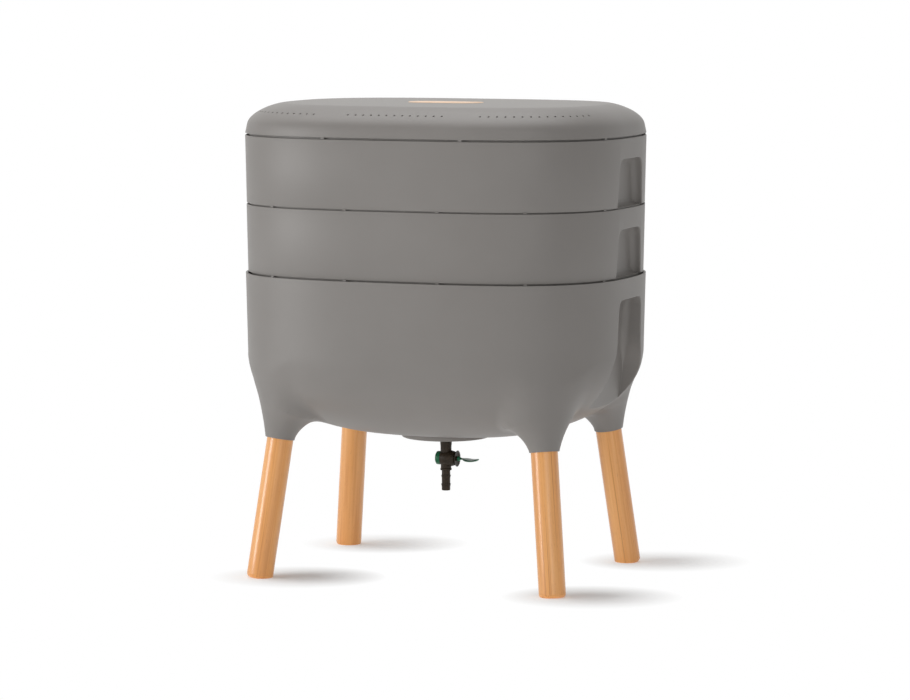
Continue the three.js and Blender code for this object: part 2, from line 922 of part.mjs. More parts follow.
function makeTapKey() {
  const near = tap.barrelHalfLength + seatGap * 2 + gland.length;
  const hubEnd = near + key.hubLength;
  const hub = rod(key.hubRadius, near, hubEnd, tap.boreSteps, plugFrame);
  const half = key.bladeWidth / 2;
  const shape = new THREE.Shape();
  const bladeStart = hubEnd + key.neckLength;
  const bladeEnd = bladeStart + key.bladeLength;
  shape.moveTo(near + key.hubLength / 2, -key.neckWidth / 2);
  shape.lineTo(bladeStart, -key.neckWidth / 2);
  shape.quadraticCurveTo(bladeStart + key.neckLength, -half, bladeStart + key.bladeRound, -half);
  shape.lineTo(bladeEnd - key.bladeRound, -half);
  shape.quadraticCurveTo(bladeEnd, -half, bladeEnd, key.bladeRound - half);
  shape.lineTo(bladeEnd, half - key.bladeRound);
  shape.quadraticCurveTo(bladeEnd, half, bladeEnd - key.bladeRound, half);
  shape.lineTo(bladeStart + key.bladeRound, half);
  shape.quadraticCurveTo(bladeStart + key.neckLength, half, bladeStart, key.neckWidth / 2);
  shape.lineTo(near + key.hubLength / 2, key.neckWidth / 2);
  shape.closePath();
  const blade = new THREE.ExtrudeGeometry(shape, {
    depth: key.thickness,
    bevelEnabled: false,
    steps: 1,
    curveSegments: key.steps,
  });
  const level = new THREE.Matrix4().makeTranslation(0, 0, tapAxis - key.thickness / 2);
  return hub.add(toSolid(blade, level));
}

function makeWasher(low) {
  const bore = tap.threadRadius + tap.threadClearance;
  return turned([
    [bore, low],
    [tap.washerRadius, low],
    [tap.washerRadius, low + tap.washerThickness],
    [bore, low + tap.washerThickness],
    [bore, low],
  ], tap.steps);
}

function makeTapLocknut() {
  const bore = tap.threadRadius + tap.threadClearance;
  const corner = tap.nutFlats / Math.sqrt(3);
  const hexagon = rod(corner, nutSeat, nutSeat + tap.nutHeight, 6);
  const hole = rod(bore, nutSeat - overrun, nutSeat + tap.nutHeight + overrun, tap.steps);
  return hexagon.subtract(hole);
}

// Assembly

const wormery = new THREE.Group();

function addPiece(name, body, finish) {
  const material = new THREE.MeshStandardMaterial(finish);
  const mesh = new THREE.Mesh(toGeometry(body), material);
  mesh.name = name;
  wormery.add(mesh);
}

addPiece('base_tub', makeBaseTub(), greyPlastic);
for (const corner of corners) {
  addPiece(`leg_${corner.name}`, makeLeg(corner), beech);
  addPiece(`leg_screw_${corner.name}`, makeLegScrew(corner), zincSteel);
  addPiece(`screw_seal_${corner.name}`, makeLegScrewSeal(corner), blackRubber);
}
addPiece('tap_body', makeTapBody(), darkPlastic);
addPiece('tap_gland', makeTapGland(), darkPlastic);
addPiece('tap_outer_washer', makeWasher(inletTop + seatGap), blackRubber);
addPiece('tap_inner_washer', makeWasher(nutSeat - seatGap - tap.washerThickness), blackRubber);
addPiece('tap_locknut', makeTapLocknut(), darkPlastic);
addPiece('tap_plug', makeTapPlug(), darkPlastic);
addPiece('tap_ring_inner', makeTapRing(-plug.groovePlace), blackRubber);
addPiece('tap_ring_outer', makeTapRing(plug.groovePlace), blackRubber);
addPiece('tap_end_cap', makeTapEndCap(), greenPlastic);
addPiece('tap_key', makeTapKey(), greenPlastic);
addPiece('lower_tray', makeTray(baseRim), greyPlastic);
addPiece('upper_tray', makeTray(lowerRim), greyPlastic);
addPiece('lid', makeLid(), greyPlastic);
addPiece('lid_plaque', makePlaque(), beech);

export default wormery;
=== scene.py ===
import math

import bpy
import numpy as np
from mathutils import Matrix, Vector


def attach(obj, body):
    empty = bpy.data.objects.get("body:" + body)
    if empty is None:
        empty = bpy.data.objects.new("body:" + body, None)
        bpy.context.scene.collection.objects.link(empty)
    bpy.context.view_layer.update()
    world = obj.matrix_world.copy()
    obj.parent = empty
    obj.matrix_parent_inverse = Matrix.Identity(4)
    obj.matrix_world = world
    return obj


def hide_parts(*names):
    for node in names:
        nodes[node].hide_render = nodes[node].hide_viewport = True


# Indoor wormery: sump tub on beech legs, two trays, a vented lid and a drain tap.
# Metres, +Z up. Lengths below are written in millimetres and turned by mm.

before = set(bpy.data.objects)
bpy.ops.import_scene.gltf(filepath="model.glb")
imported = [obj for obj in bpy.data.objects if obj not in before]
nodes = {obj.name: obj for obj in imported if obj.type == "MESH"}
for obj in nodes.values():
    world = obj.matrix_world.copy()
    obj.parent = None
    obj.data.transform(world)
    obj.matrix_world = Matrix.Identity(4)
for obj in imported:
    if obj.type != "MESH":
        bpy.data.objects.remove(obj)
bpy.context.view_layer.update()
mm = 0.001

# Plan of every moulding, rounded like a squared-off ellipse
outline = {
    "halfX": 255 * mm, "halfY": 192 * mm, "powerX": 3.2, "powerY": 2.75,
    "columns": 192, "samples": 600,
}
halfX, halfY = outline["halfX"], outline["halfY"]
corners = {
    "front_left": (-1, -1), "front_right": (1, -1),
    "back_left": (-1, 1), "back_right": (1, 1),
}
overcut = {"past": 5 * mm, "outside": 300 * mm}  # how far cutters overshoot
smooth = {"moulded": 30, "turned": 34, "tap": 32, "board": 50}  # degrees


# Small helpers for working by operator

def clearChoice():
    bpy.ops.object.select_all(action="DESELECT")


def choose(*objects):
    clearChoice()
    for obj in objects:
        obj.select_set(True)
    bpy.context.view_layer.objects.active = objects[0]


def named(name):
    obj = bpy.context.object
    obj.name = name
    obj.data.name = name
    return obj


def settlePlace(obj):
    choose(obj)
    bpy.ops.object.transform_apply(location=True, rotation=True, scale=True)
    return obj


def useModifier(obj, kind, **settings):
    choose(obj)
    modifier = obj.modifiers.new(kind.lower(), kind)
    for key, value in settings.items():
        setattr(modifier, key, value)
    bpy.ops.object.modifier_apply(modifier=modifier.name)


def carve(obj, cutter, operation="DIFFERENCE"):
    useModifier(obj, "BOOLEAN", object=cutter, operation=operation, solver="EXACT")
    bpy.data.objects.remove(cutter)


def copied(obj, name):
    twin = obj.copy()
    twin.data = obj.data.copy()
    twin.name = twin.data.name = name
    bpy.context.collection.objects.link(twin)
    return twin


def joined(objects):
    choose(*objects)
    bpy.ops.object.join()
    return objects[0]


def faceOut(obj, merge=0.01 * mm):
    choose(obj)
    bpy.ops.object.mode_set(mode="EDIT")
    bpy.ops.mesh.select_all(action="SELECT")
    bpy.ops.mesh.remove_doubles(threshold=merge)
    bpy.ops.mesh.normals_make_consistent(inside=False)
    bpy.ops.object.mode_set(mode="OBJECT")
    return obj


def smoothOver(obj, degrees):
    choose(obj)
    bpy.ops.object.shade_smooth_by_angle(angle=math.radians(degrees), keep_sharp_edges=False)


# Cuts through a whole mesh by a plane and closes the cut
def cutFlat(obj, place, normal, **sides):
    choose(obj)
    bpy.ops.object.mode_set(mode="EDIT")
    bpy.ops.mesh.select_all(action="SELECT")
    bpy.ops.mesh.bisect(plane_co=place, plane_no=normal, use_fill=True, **sides)
    bpy.ops.object.mode_set(mode="OBJECT")


# Pulls a stack of rings up from a circle by extruding, then fits each ring to its outline
def ringStack(name, rings):
    count = len(rings[0])
    clearChoice()
    bpy.ops.mesh.primitive_circle_add(vertices=count, radius=1, fill_type="NGON")
    obj = named(name)
    bpy.ops.object.mode_set(mode="EDIT")
    bpy.ops.mesh.select_all(action="SELECT")
    for level in range(len(rings) - 1):
        bpy.ops.mesh.extrude_region_move(TRANSFORM_OT_translate={"value": (0, 0, 1)})
    bpy.ops.object.mode_set(mode="OBJECT")
    for vertex in obj.data.vertices:
        turn = math.atan2(vertex.co.y, vertex.co.x)
        step = round(turn * count / (2 * math.pi)) % count
        vertex.co = rings[round(vertex.co.z)][step]
    return faceOut(obj)


# A round part from its radii and heights, up its own axis
def turnedPart(name, profile, matrix=Matrix.Identity(4), count=48):
    rings = []
    for radius, height in profile:
        turns = (2 * math.pi * step / count for step in range(count))
        rings.append([
            matrix @ Vector((radius * math.cos(turn), radius * math.sin(turn), height))
            for turn in turns
        ])
    return ringStack(name, rings)


def bore(name, radius, low, high, matrix=Matrix.Identity(4), count=48):
    return turnedPart(name, [(radius, low), (radius, high)], matrix, count)


# Plan outline with its points evenly spaced along it
def superRing(halfX, halfY, height, powerX=outline["powerX"], powerY=outline["powerY"]):
    quarter = outline["columns"] // 4
    turns = np.linspace(0, math.pi / 2, outline["samples"] + 1)
    xs = halfX * np.cos(turns) ** (2 / powerX)
    ys = halfY * np.sin(turns) ** (2 / powerY)
    xs[-1], ys[0] = 0, 0
    along = np.concatenate([[0], np.cumsum(np.hypot(np.diff(xs), np.diff(ys)))])
    places = np.linspace(0, along[-1], quarter + 1)
    qx, qy = np.interp(places, along, xs), np.interp(places, along, ys)
    points = []
    for sx, sy, back in ((1, 1, False), (-1, 1, True), (-1, -1, False), (1, -1, True)):
        order = range(quarter, 0, -1) if back else range(quarter)
        points += [Vector((sx * qx[i], sy * qy[i], height)) for i in order]
    return points


def insetRing(inset, height):
    return superRing(halfX - inset, halfY - inset, height)


# Copies of one pattern, each with its own mesh, at X, Y and turn
def repeated(pattern, places):
    copies = []
    for x, y, turn in places:
        twin = copied(pattern, pattern.name)
        twin.location, twin.rotation_euler = (x, y, 0), (0, 0, turn)
        copies.append(settlePlace(twin))
    bpy.data.objects.remove(pattern)
    return joined(copies)


def boxPattern(name, size, height):
    clearChoice()
    bpy.ops.mesh.primitive_cube_add(size=1, location=(0, 0, height))
    box = named(name)
    box.scale = size
    return settlePlace(box)


# A shape drawn in Y and Z, grown by the same width all round
def grown(shape, width):
    points = np.array(shape)
    along = np.roll(points, -1, axis=0) - np.roll(points, 1, axis=0)
    along /= np.linalg.norm(along, axis=1)[:, None]
    return points + width * np.stack([along[:, 1], -along[:, 0]], axis=1)


# The same layers at both ends of a moulding: shapes in Y and Z, each with its X
def bothEnds(name, layers):
    stacks = []
    for side in (1, -1):
        rings = [
            [Vector((side * x, y, z)) for x, (y, z) in zip(np.broadcast_to(xs, len(shape)), shape)]
            for shape, xs in layers
        ]
        stacks.append(ringStack(f"{name}{side}", rings))
    return joined(stacks)


gripCut = {"backSteps": 5, "edgeSteps": 4, "leastHollow": 0.06, "out": 30 * mm, "thin": 0.02 * mm}


# A cutter for both hand-holds: hollow corners at the back, round edges at the wall.
# The hollow fades away between two heights, towards the foot of the cut.
def gripCutters(name, shapeOf, backX, wallX, hollow, edge, fade):
    plain, inner = np.array(shapeOf(0)), np.array(shapeOf(-hollow))
    face = wallX(plain[:, 0], plain[:, 1])
    share = np.clip((plain[:, 1] - fade[0]) / (fade[1] - fade[0]), gripCut["leastHollow"], 1)
    layers = []
    for step in range(gripCut["backSteps"] + 1):
        turn = math.pi / 2 * step / gripCut["backSteps"]
        shape = plain + (inner - plain) * (share * (1 - math.sin(turn)))[:, None]
        layers.append((shape, backX + hollow * share * (1 - math.cos(turn))))
    for step in range(gripCut["edgeSteps"] + 1):
        turn = math.pi / 2 * step / gripCut["edgeSteps"]
        layers.append((shapeOf(edge * (1 - math.cos(turn))), face - edge * (1 - math.sin(turn))))
    layers.append((shapeOf(edge), np.maximum(face, backX) + gripCut["out"]))
    stack, last = [], np.zeros(len(plain))
    for shape, xs in layers:
        last = np.maximum(xs, last + gripCut["thin"])
        stack.append((shape, last))
    return bothEnds(name, stack)


# Points along one curved corner, drawn by its start, its control point and its end
def arcPoints(start, control, end, steps):
    start, control, end = Vector(start), Vector(control), Vector(end)
    return [
        tuple((1 - t) ** 2 * start + 2 * t * (1 - t) * control + t * t * end)
        for t in (i / steps for i in range(steps + 1))
    ]


# Shader maths: a socket with Python's operators

class Sock:
    def __init__(self, tree, link):
        self.tree, self.link = tree, link

    def math(self, kind, *others):
        return self.tree.add("Math", list(others), {"operation": kind})

    def __add__(self, other):
        return self.math("ADD", self, other)

    def __radd__(self, other):
        return self.math("ADD", other, self)

    def __sub__(self, other):
        return self.math("SUBTRACT", self, other)

    def __rsub__(self, other):
        return self.math("SUBTRACT", other, self)

    def __mul__(self, other):
        return self.math("MULTIPLY", self, other)

    def __truediv__(self, other):
        return self.math("DIVIDE", self, other)

    def __pow__(self, other):
        return self.math("POWER", self, other)

    def within(self, low, high):
        ends = {"Value": self, "From Min": low, "From Max": high}
        return self.tree.add("MapRange", ends, {"clamp": True})


class Finish:
    def __init__(self, name, world=False):
        owners = bpy.data.worlds if world else bpy.data.materials
        self.owner = owners.new(name)
        self.owner.use_nodes = True
        self.nodes = self.owner.node_tree.nodes
        self.links = self.owner.node_tree.links
        self.shader = self.nodes["Background" if world else "Principled BSDF"]

    # Adds any node: its settings first, then its sockets, by order or by name
    def add(self, kind, inputs=None, settings=None, output=0):
        node = self.nodes.new("ShaderNode" + kind)
        for key, value in (settings or {}).items():
            if key == "stops":
                ramp = node.color_ramp
                while len(ramp.elements) < len(value):
                    ramp.elements.new(1)
                for element, (place, colour) in zip(ramp.elements, value):
                    element.position, element.color = place, colour
            else:
                setattr(node, key, value)
        pairs = inputs.items() if isinstance(inputs, dict) else enumerate(inputs or [])
        for key, value in pairs:
            self.fill(node.inputs[key], value)
        return Sock(self, node.outputs[output])

    def fill(self, socket, value):
        if isinstance(value, Sock):
            self.links.new(value.link, socket)
        else:
            socket.default_value = value

    def set(self, **values):
        for key, value in values.items():
            self.fill(self.shader.inputs[key.replace("_", " ")], value)

    def noise(self, where, scale, detail=3.0, rough=0.5):
        sockets = {"Vector": where, "Scale": scale, "Detail": detail, "Roughness": rough}
        return self.add("TexNoise", sockets)

    def blend(self, factor, low, high):
        return self.add("Mix", {0: factor, 6: low, 7: high}, {"data_type": "RGBA"}, output=2)

    def place(self, stretch=(1, 1, 1)):
        start = self.add("TexCoord", output=3)
        return self.add("Mapping", {"Vector": start, "Scale": stretch})

    def bump(self, height, strength, distance):
        sockets = {"Height": height, "Strength": strength, "Distance": distance}
        return self.add("Bump", sockets)


def rgb(red, green, blue):
    return (red, green, blue, 1)


def giveFinish(obj, finish):
    obj.data.materials.clear()
    obj.data.materials.append(finish.owner)


# Finishes

satinLook = {
    "cloudScale": 9, "cloudDetail": 4, "cloudRough": 0.05, "grainRough": 0.06,
    "grainBump": 0.22, "grainHeight": 0.05 * mm, "ior": 1.49,
}
plainLook = {
    "cloudScale": 160, "cloudDetail": 3, "cloudRough": 0, "grainRough": 0.08,
    "grainBump": 0.15, "grainHeight": 0.04 * mm, "ior": 1.5,
}


def makePlastic(name, dark, light, roughness, grainScale, look=plainLook):
    finish = Finish(name)
    place = finish.place()
    cloud = finish.noise(place, look["cloudScale"], look["cloudDetail"])
    grain = finish.noise(place, grainScale, 2)
    finish.set(
        Base_Color=finish.blend(cloud.within(0.35, 0.65), dark, light),
        Roughness=roughness + grain * look["grainRough"] + cloud * look["cloudRough"],
        Normal=finish.bump(grain, look["grainBump"], look["grainHeight"]),
        IOR=look["ior"],
    )
    return finish


beechLook = {
    "pale": rgb(0.86, 0.44, 0.15), "middle": rgb(0.77, 0.34, 0.09), "warm": rgb(0.62, 0.235, 0.052),
    "deep": rgb(0.3, 0.1, 0.026), "fleck": 0.3, "coat": 0.5,
}
plaqueLook = {
    "pale": rgb(0.86, 0.62, 0.42), "middle": rgb(0.8, 0.53, 0.33), "warm": rgb(0.68, 0.4, 0.22),
    "deep": rgb(0.3, 0.14, 0.06), "fleck": 0.25, "coat": 0.1,
}


# How often the figure repeats across the wood and along it, per metre
woodFigure = {"streak": (70, 2.6), "thread": (480, 9), "fleck": (1100, 140), "line": (260, 1.6)}


def makeBeech(name, look):
    finish = Finish(name)
    grain = finish.add("Attribute", settings={"attribute_name": "grain"}, output=1)

    def figure(kind, detail, rough):
        across, along = woodFigure[kind]
        place = finish.add("Mapping", {"Vector": grain, "Scale": (across, across, along)})
        return finish.noise(place, 1, detail, rough)

    streak, thread = figure("streak", 4, 0.6), figure("thread", 3, 0.6)
    fleck, line = figure("fleck", 2, 0.5), figure("line", 2, 0.5)
    tone = streak.within(0.3, 0.7) * 0.6 + thread.within(0.28, 0.72) * 0.4
    stops = [(0, look["warm"]), (0.45, look["middle"]), (1, look["pale"])]
    colour = finish.add("ValToRGB", [tone], {"stops": stops})
    specks, lines = fleck.within(0.62, 0.76), line.within(0.64, 0.76)
    dark = specks.math("MAXIMUM", specks * look["fleck"], lines * 0.6)
    finish.set(
        Base_Color=finish.blend(dark, colour, look["deep"]),
        Roughness=0.34 + thread * 0.16,
        Normal=finish.bump(thread - dark, 0.2, 0.1 * mm),
        Coat_Weight=look["coat"], Coat_Roughness=0.16,
    )
    return finish


zincLook = {
    "dull": rgb(0.52, 0.54, 0.56), "bright": rgb(0.68, 0.69, 0.68), "patchScale": 260,
    "brush": (900, 900, 90), "brushHeight": 0.02 * mm,
}


def makeZinc():
    finish = Finish("zincPlatedSteel")
    patch = finish.noise(finish.place(), zincLook["patchScale"], 4)
    brush = finish.noise(finish.place(zincLook["brush"]), 1, 2)
    finish.set(
        Base_Color=finish.blend(patch.within(0.4, 0.62), zincLook["dull"], zincLook["bright"]),
        Roughness=0.24 + patch * 0.22,
        Normal=finish.bump(brush, 0.2, zincLook["brushHeight"]), Metallic=1,
    )
    return finish


plastic = makePlastic(
    "satinGreyPlastic", rgb(0.198, 0.185, 0.173), rgb(0.208, 0.195, 0.183), 0.44, 1500, satinLook)
beech = makeBeech("oiledBeech", beechLook)
plaqueWood = makeBeech("plaqueBeech", plaqueLook)
darkPlastic = makePlastic(
    "darkTapPlastic", rgb(0.022, 0.015, 0.009), rgb(0.034, 0.023, 0.014), 0.38, 900)
darkPlastic.set(Specular_IOR_Level=0.2)
greenPlastic = makePlastic(
    "greenKeyPlastic", rgb(0.008, 0.105, 0.045), rgb(0.014, 0.15, 0.068), 0.26, 900)
greenPlastic.set(Specular_IOR_Level=0.3)
rubber = makePlastic(
    "blackRubber", rgb(0.012, 0.012, 0.012), rgb(0.022, 0.021, 0.02), 0.62, 1400)
zinc = makeZinc()
print("finishes ready")


def finishMoulding(body, merge):
    faceOut(body, merge)
    smoothOver(body, smooth["moulded"])
    giveFinish(body, plastic)


# Sump tub

tub = {
    "belly": 184.5 * mm, "knee": 292 * mm, "rim": 393.5 * mm, "wall": 3 * mm, "draft": 2.1 * mm,
    "flatX": 80 * mm, "flatY": 60 * mm, "bellyPower": 2.3, "bowlRows": 14, "cavityRows": 12,
    "spare": 14 * mm, "rimRound": 0.8 * mm, "rimEase": 0.6 * mm, "rimOpen": 1 * mm,
    "grid": 3.6 * mm, "merge": 0.05 * mm,
}
kneeX, kneeY = halfX - tub["draft"], halfY - tub["draft"]
# Rates that turn the bowl's formulas into roughly true distances
gap = {
    "wallPower": 3, "wallReach": 215 * mm, "sideReach": 150 * mm, "farthest": 1.5,
    "nearest": 0.05, "halvings": 26,
}
settle = {"rounds": 7, "probe": 0.05 * mm, "leastSlope": 0.05, "longestMove": 6 * mm}
horn = {
    "mouthX": 182.5 * mm, "mouthY": 123.5 * mm, "mouthZ": 180 * mm,
    "splayX": 20 * mm, "splayY": 23 * mm, "radius": 18.9 * mm, "depth": 48 * mm,
    "topRise": 100 * mm, "topRadius": 55.5 * mm, "steepShare": 0.68,
    "flareRadius": 37.3 * mm, "flareRise": 25 * mm, "innerGrowth": 16 * mm,
    "blendOut": 16 * mm, "blendIn": 9 * mm, "wallBlend": 9 * mm, "wallFade": 34 * mm,
    "cap": 4 * mm, "bossWall": 3 * mm, "trimReach": 26 * mm, "trimRise": 12 * mm,
    "boreOut": 30 * mm,
}
# The rough horn before it settles on its surface: share of a radius, and rise
roughHorn = {
    "cuts": (("radius", 1, -10), ("radius", 1, 8), ("radius", 1.5, 40), ("topRadius", 0.9, 80)),
    "columns": 32,
}
dish = {
    "radius": 58 * mm, "face": 176.5 * mm, "edge": 2 * mm, "ease": 0.6 * mm, "floor": 3.5 * mm,
    "columns": 96, "outlet": (6.9 * mm, 150 * mm, 200 * mm),  # radius, low and high
}
legs = {
    "radius": 17.2 * mm, "fit": 0.3 * mm, "endRound": 5.5 * mm, "roundSteps": 6,
    "levelCut": 1.6 * mm, "seatGap": 0.3 * mm, "topEase": 1 * mm, "columns": 64,
    "waists": (0.2, 0.4, 0.6, 0.8), "grainStep": (0.31, 0.17, 0.5),
    "screwBore": (2.8 * mm, 20 * mm, 80 * mm), "screwColumns": 24,
}


# Leg frame: origin in the middle of the socket's mouth, +Z up the leg
def legFrame(corner):
    sx, sy = corners[corner]
    up = Vector((-sx * horn["splayX"], -sy * horn["splayY"], horn["mouthZ"])).normalized()
    turn = Vector((0, 0, 1)).rotation_difference(up)
    mouth = Vector((sx * horn["mouthX"], sy * horn["mouthY"], horn["mouthZ"]))
    return Matrix.Translation(mouth) @ turn.to_matrix().to_4x4()


def bowlRings(wall, rows):
    wideX, wideY = kneeX - wall, kneeY - wall
    drop = tub["knee"] - tub["belly"] - wall
    rings = []
    for row in range(rows + 1):
        turn = math.pi / 2 * row / rows
        reach = math.sin(turn)
        rings.append(superRing(
            tub["flatX"] + (wideX - tub["flatX"]) * reach,
            tub["flatY"] + (wideY - tub["flatY"]) * reach,
            tub["knee"] - drop * math.cos(turn),
            tub["bellyPower"] + (outline["powerX"] - tub["bellyPower"]) * reach,
            tub["bellyPower"] + (outline["powerY"] - tub["bellyPower"]) * reach,
        ))
    return rings


# How far points lie outside the wall, which runs straight down below the knee
def wallGap(x, y, z):
    grow = tub["draft"] * np.maximum((z - tub["knee"]) / (tub["rim"] - tub["knee"]), 0)
    spread = (x / (kneeX + grow)) ** outline["powerX"] + (y / (kneeY + grow)) ** outline["powerY"]
    return (spread ** (1 / gap["wallPower"]) - 1) * gap["wallReach"]


# How far points lie outside the bowl and its wall, in metres, below zero inside
def bowlGap(x, y, z):
    low, high = np.zeros_like(x), np.full_like(x, gap["farthest"])
    for halving in range(gap["halvings"]):
        reach = (low + high) / 2
        inside = (
            (x / (tub["flatX"] + (kneeX - tub["flatX"]) * reach))
            ** (tub["bellyPower"] + (outline["powerX"] - tub["bellyPower"]) * reach)
            + (y / (tub["flatY"] + (kneeY - tub["flatY"]) * reach))
            ** (tub["bellyPower"] + (outline["powerY"] - tub["bellyPower"]) * reach)
        ) < 1
        high = np.where(inside, reach, high)
        low = np.where(inside, low, reach)
    drop = tub["knee"] - tub["belly"]
    fall = np.maximum((tub["knee"] - z) / drop, 0)
    slope = np.sqrt((fall / drop) ** 2 + (high / gap["sideReach"]) ** 2) + 1e-6
    size = np.sqrt(high ** 2 + fall ** 2)
    below = (size - 1) * np.maximum(size, gap["nearest"]) / slope
    return np.where(z > tub["knee"], wallGap(x, y, z), below)


# The same for a leg's horn, with how far each point lies on its belly side
def hornGap(x, y, z):
    rise = z - horn["mouthZ"]
    dx = x - horn["mouthX"] + horn["splayX"] * rise / horn["mouthZ"]
    dy = y - horn["mouthY"] + horn["splayY"] * rise / horn["mouthZ"]
    reach = np.hypot(dx, dy)
    outward = math.atan2(horn["mouthY"], horn["mouthX"])
    inward = (1 - np.cos(np.arctan2(dy, dx) - outward)) / 2
    climb = np.maximum(rise / horn["topRise"], 0)
    swell = horn["steepShare"] * climb + (1 - horn["steepShare"]) * climb ** 2
    outer = reach - horn["radius"] - (horn["topRadius"] - horn["radius"]) * swell
    over = np.maximum(z - tub["knee"], 0)
    centreRise = horn["flareRise"] - horn["flareRadius"]
    centreReach = horn["radius"] + math.sqrt(horn["flareRadius"] ** 2 - centreRise ** 2)
    above = np.maximum(rise, 0) - centreRise
    hollow = horn["flareRadius"] - np.hypot(np.maximum(centreReach - reach, 0), above)
    spread = (rise - horn["flareRise"]) / (horn["topRise"] - horn["flareRise"])
    cone = reach - centreReach - horn["innerGrowth"] * np.maximum(spread, 0)
    flare = np.maximum(hollow, cone)
    return outer + (flare - outer) * inward + over, inward


# Bowl and horns run into each other, and the wall's outline trims both below the knee
def tubGap(points):
    x, y, z = np.abs(points[:, 0]), np.abs(points[:, 1]), points[:, 2]
    bowl = bowlGap(x, y, z)
    limb, inward = hornGap(x, y, z)
    width = horn["blendOut"] + (horn["blendIn"] - horn["blendOut"]) * inward
    overlap = np.maximum(width - np.abs(bowl - limb), 0) / width
    whole = np.minimum(bowl, limb) - overlap ** 2 * width / 4
    wall = wallGap(x, y, z)
    width = horn["wallBlend"] * np.clip((tub["knee"] - z) / horn["wallFade"], 0.001, 1)
    overlap = np.maximum(width - np.abs(whole - wall), 0) / width
    return np.maximum(whole, wall) + overlap ** 2 * width / 4


# Moves every point of a mesh onto the surface where the distance is zero
def settleOn(obj, distance):
    mesh = obj.data
    points = np.zeros(len(mesh.vertices) * 3)
    mesh.vertices.foreach_get("co", points)
    points = points.reshape(-1, 3)
    probe = settle["probe"]
    for turn in range(settle["rounds"]):
        here = distance(points)
        slope = np.stack([
            (distance(points + probe * axis) - distance(points - probe * axis)) / (2 * probe)
            for axis in np.eye(3)
        ], axis=1)
        steepness = np.maximum((slope ** 2).sum(axis=1), settle["leastSlope"])
        move = -slope * (here / steepness)[:, None]
        length = np.maximum(np.linalg.norm(move, axis=1), 1e-9)
        points = points + move * np.minimum(1, settle["longestMove"] / length)[:, None]
    mesh.vertices.foreach_set("co", points.ravel())
    mesh.update()


def hornBlank(corner):
    cuts = [(horn[size] * share, rise * mm) for size, share, rise in roughHorn["cuts"]]
    return turnedPart(f"horn_{corner}", cuts, legFrame(corner), roughHorn["columns"])


# Cuts the horn off square to its leg, at the mouth
def trimMouth(obj, corner):
    matrix = legFrame(corner)
    inverse = matrix.inverted()
    up = (matrix.to_3x3() @ Vector((0, 0, 1))).normalized()
    choose(obj)
    bpy.ops.object.mode_set(mode="EDIT")
    bpy.ops.mesh.select_all(action="DESELECT")
    bpy.ops.mesh.select_mode(type="FACE")
    bpy.ops.object.mode_set(mode="OBJECT")
    for face in obj.data.polygons:
        place = inverse @ face.center
        near = math.hypot(place.x, place.y) < horn["trimReach"]
        face.select = near and place.z < horn["trimRise"]
    bpy.ops.object.mode_set(mode="EDIT")
    bpy.ops.mesh.bisect(plane_co=matrix.translation, plane_no=up, use_fill=True, clear_inner=True)
    bpy.ops.object.mode_set(mode="OBJECT")


gripTub = {
    "depth": 24 * mm, "high": 366.5 * mm, "halfWidth": 44.5 * mm, "corner": 16 * mm,
    "shift": 4 * mm, "hollow": 10 * mm, "edge": 1.6 * mm, "fade": (262 * mm, 307 * mm),
    "foot": 224.5 * mm, "leanDepth": 15 * mm, "cornerSteps": 8,
    "skinFrom": 150 * mm, "skinTo": 260 * mm, "halvings": 24,
}
# The scoop below the hand-hold, as arcs in half width and height, from the foot up
scoopArcs = (
    ((40, 224.5), (61, 225.5), (63, 243), 7), ((63, 243), (63.8, 255), (62.3, 266), 4),
    ((62.3, 266), (60, 279), (53.5, 289), 5), ((53.5, 289), (45, 302), (44.5, 330), 6),
)


def tubGripShape():
    half, high, corner = gripTub["halfWidth"], gripTub["high"], gripTub["corner"]
    right = []
    for start, control, end, steps in scoopArcs:
        right += [(y * mm, z * mm) for y, z in arcPoints(start, control, end, steps)[:-1]]
    steps = gripTub["cornerSteps"]
    right += arcPoints((half, high - corner), (half, high), (half - corner, high), steps)
    whole = right + [(-y, z) for y, z in reversed(right)]
    return np.array([(y + gripTub["shift"], z) for y, z in whole])


# The scoop's back leans inwards towards its foot
def tubGripBack(heights):
    share = (gripTub["high"] - heights) / (gripTub["high"] - gripTub["foot"])
    return halfX - gripTub["depth"] - gripTub["leanDepth"] * share


# Where the tub's skin lies at given heights on its ends, by halving
def tubFace(y, z):
    low, high = np.full_like(y, gripTub["skinFrom"]), np.full_like(y, gripTub["skinTo"])
    for halving in range(gripTub["halvings"]):
        middle = (low + high) / 2
        inside = tubGap(np.stack([middle, y, z], axis=1)) < 0
        low = np.where(inside, middle, low)
        high = np.where(inside, high, middle)
    return high


def makeTub():
    top = insetRing(0, tub["rim"] + tub["spare"])
    shell = ringStack("base_tub_body", bowlRings(0, tub["bowlRows"]) + [top])
    body = joined([shell] + [hornBlank(corner) for corner in corners])
    useModifier(body, "REMESH", mode="VOXEL", voxel_size=tub["grid"])
    settleOn(body, tubGap)
    cutFlat(body, (0, 0, tub["rim"]), (0, 0, 1), clear_outer=True)
    for corner in corners:
        trimMouth(body, corner)
    return body


def addDish(body):
    radius, edge, ease = dish["radius"], dish["edge"], dish["ease"]
    carve(body, turnedPart("dishBlank", [
        (radius - edge, dish["face"]), (radius - ease, dish["face"] + ease),
        (radius, dish["face"] + edge), (radius, tub["belly"] + tub["wall"]),
    ], count=dish["columns"]), "UNION")


